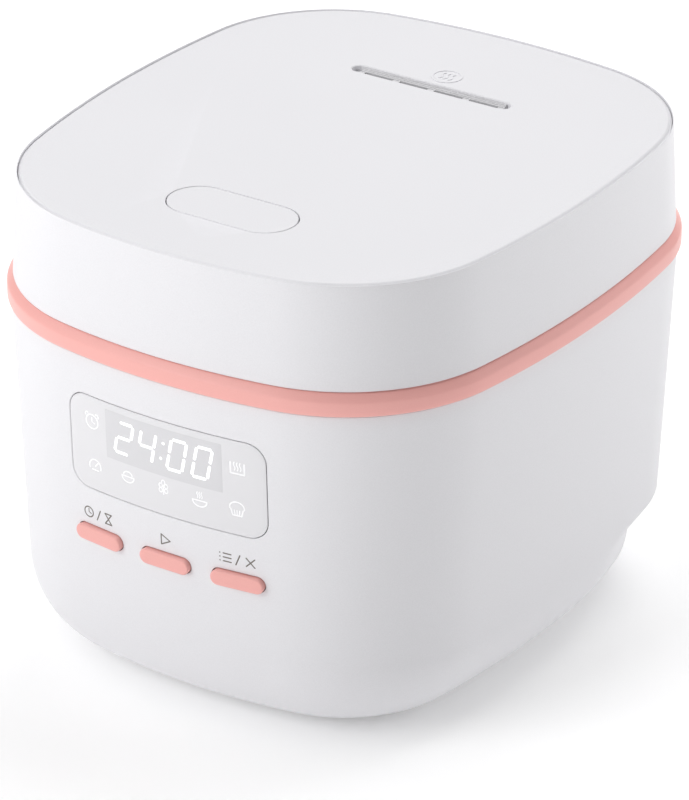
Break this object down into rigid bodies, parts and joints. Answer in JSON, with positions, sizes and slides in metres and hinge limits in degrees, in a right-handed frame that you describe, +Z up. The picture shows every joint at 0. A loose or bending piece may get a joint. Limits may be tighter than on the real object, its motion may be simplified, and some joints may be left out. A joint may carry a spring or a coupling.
{
  "type": "rice cooker",
  "caption": "Compact countertop rice cooker with a rounded white body, pink band, hinged lid with steam slot and release button, lit display window and press buttons.",
  "frame": {"origin": "On the floor under the feet, at the middle of the bounding box in plan; the hinge at the back counts, so the plan centre of the body is 4.3 mm in front of it.", "axes": "+Z up, front with the display towards -Y, hinge towards +Y, +X to the right seen from the front."},
  "size_m": [0.2246, 0.265, 0.2],
  "materials": {
    "white_shell": "white satin moulded plastic with a very fine grain",
    "white_inner": "white matte moulded plastic",
    "pink_plastic": "salmon pink satin plastic",
    "window_gloss": "clear glossy panel backed in pale grey",
    "display_grey": "pale grey display module",
    "board_green": "green lacquered circuit board",
    "black_plastic": "black moulded plastic",
    "rubber_foot": "grey rubber",
    "silicone_seal": "translucent white silicone",
    "aluminium": "brushed and stamped aluminium",
    "sheet_steel": "galvanised steel sheet",
    "pot_coating": "dark grey non-stick coating",
    "bright_steel": "bright plated steel",
    "brass_pin": "bare brass"
  },
  "bodies": {
    "cooker_body": {"body_shell": "white_shell", "deco_band": "pink_plastic", "collar_ring": "white_inner", "pot_well": "sheet_steel", "inner_pot": "pot_coating", "heating_plate": "aluminium", "sensor_bracket": "sheet_steel", "sensor_spring": "bright_steel", "base_plate": "white_inner", "foot_front_left": "rubber_foot", "base_screw_front_left": "bright_steel", "foot_front_right": "rubber_foot", "base_screw_front_right": "bright_steel", "foot_rear_left": "rubber_foot", "base_screw_rear_left": "bright_steel", "foot_rear_right": "rubber_foot", "base_screw_rear_right": "bright_steel", "power_board": "board_green", "control_board": "board_green", "display_module": "display_grey", "display_window": "window_gloss", "time_switch": "black_plastic", "start_switch": "black_plastic", "menu_switch": "black_plastic", "rear_cover": "white_inner", "hinge_pin": "bright_steel", "inlet_housing": "black_plastic", "inlet_pin_line": "brass_pin", "inlet_pin_earth": "brass_pin", "inlet_pin_neutral": "brass_pin"},
    "lid": {"lid_skirt": "white_shell", "lid_top_panel": "white_shell", "vent_insert": "white_inner", "steam_duct": "white_inner", "lid_inner_frame": "white_inner", "inner_lid_plate": "aluminium", "steam_valve": "silicone_seal", "lid_gasket": "silicone_seal", "release_spring_left": "bright_steel", "release_spring_right": "bright_steel", "latch_spring": "bright_steel"},
    "release_key": {"release_button": "white_shell"},
    "latch": {"latch_slider": "white_inner"},
    "time_key": {"time_button": "pink_plastic"},
    "start_key": {"start_button": "pink_plastic"},
    "menu_key": {"menu_button": "pink_plastic"},
    "pot_sensor": {"sensor_cap": "aluminium"}
  },
  "joints": [
    {"name": "lid_hinge", "type": "hinge", "parent": "cooker_body", "child": "lid", "pos_m": [0, 0.12828, 0.152], "axis": [-1, 0, 0], "range_deg": [0, 90]},
    {"name": "release_press", "type": "slide", "parent": "lid", "child": "release_key", "axis": [0, 0, -1], "range_m": [0, 0.0025], "stiffness_N_per_m": 1200, "deforming": ["release_spring_left", "release_spring_right"]},
    {"name": "latch_slide", "type": "slide", "parent": "lid", "child": "latch", "axis": [0, 1, 0], "range_m": [0, 0.0025], "stiffness_N_per_m": 300, "deforming": ["latch_spring"]},
    {"name": "time_press", "type": "slide", "parent": "cooker_body", "child": "time_key", "axis": [0.1227, 0.9915, 0.0428], "range_m": [0, 0.0012], "stiffness_N_per_m": 1500},
    {"name": "start_press", "type": "slide", "parent": "cooker_body", "child": "start_key", "axis": [0, 0.9991, 0.0428], "range_m": [0, 0.0012], "stiffness_N_per_m": 1500},
    {"name": "menu_press", "type": "slide", "parent": "cooker_body", "child": "menu_key", "axis": [-0.1227, 0.9915, 0.0428], "range_m": [0, 0.0012], "stiffness_N_per_m": 1500},
    {"name": "sensor_press", "type": "slide", "parent": "cooker_body", "child": "pot_sensor", "axis": [0, 0, -1], "range_m": [0, 0.003], "stiffness_N_per_m": 500, "deforming": ["sensor_spring"]}
  ],
  "couplings": [
    {"joint": "latch_slide", "follows": "release_press", "ratio": 1}
  ]
}
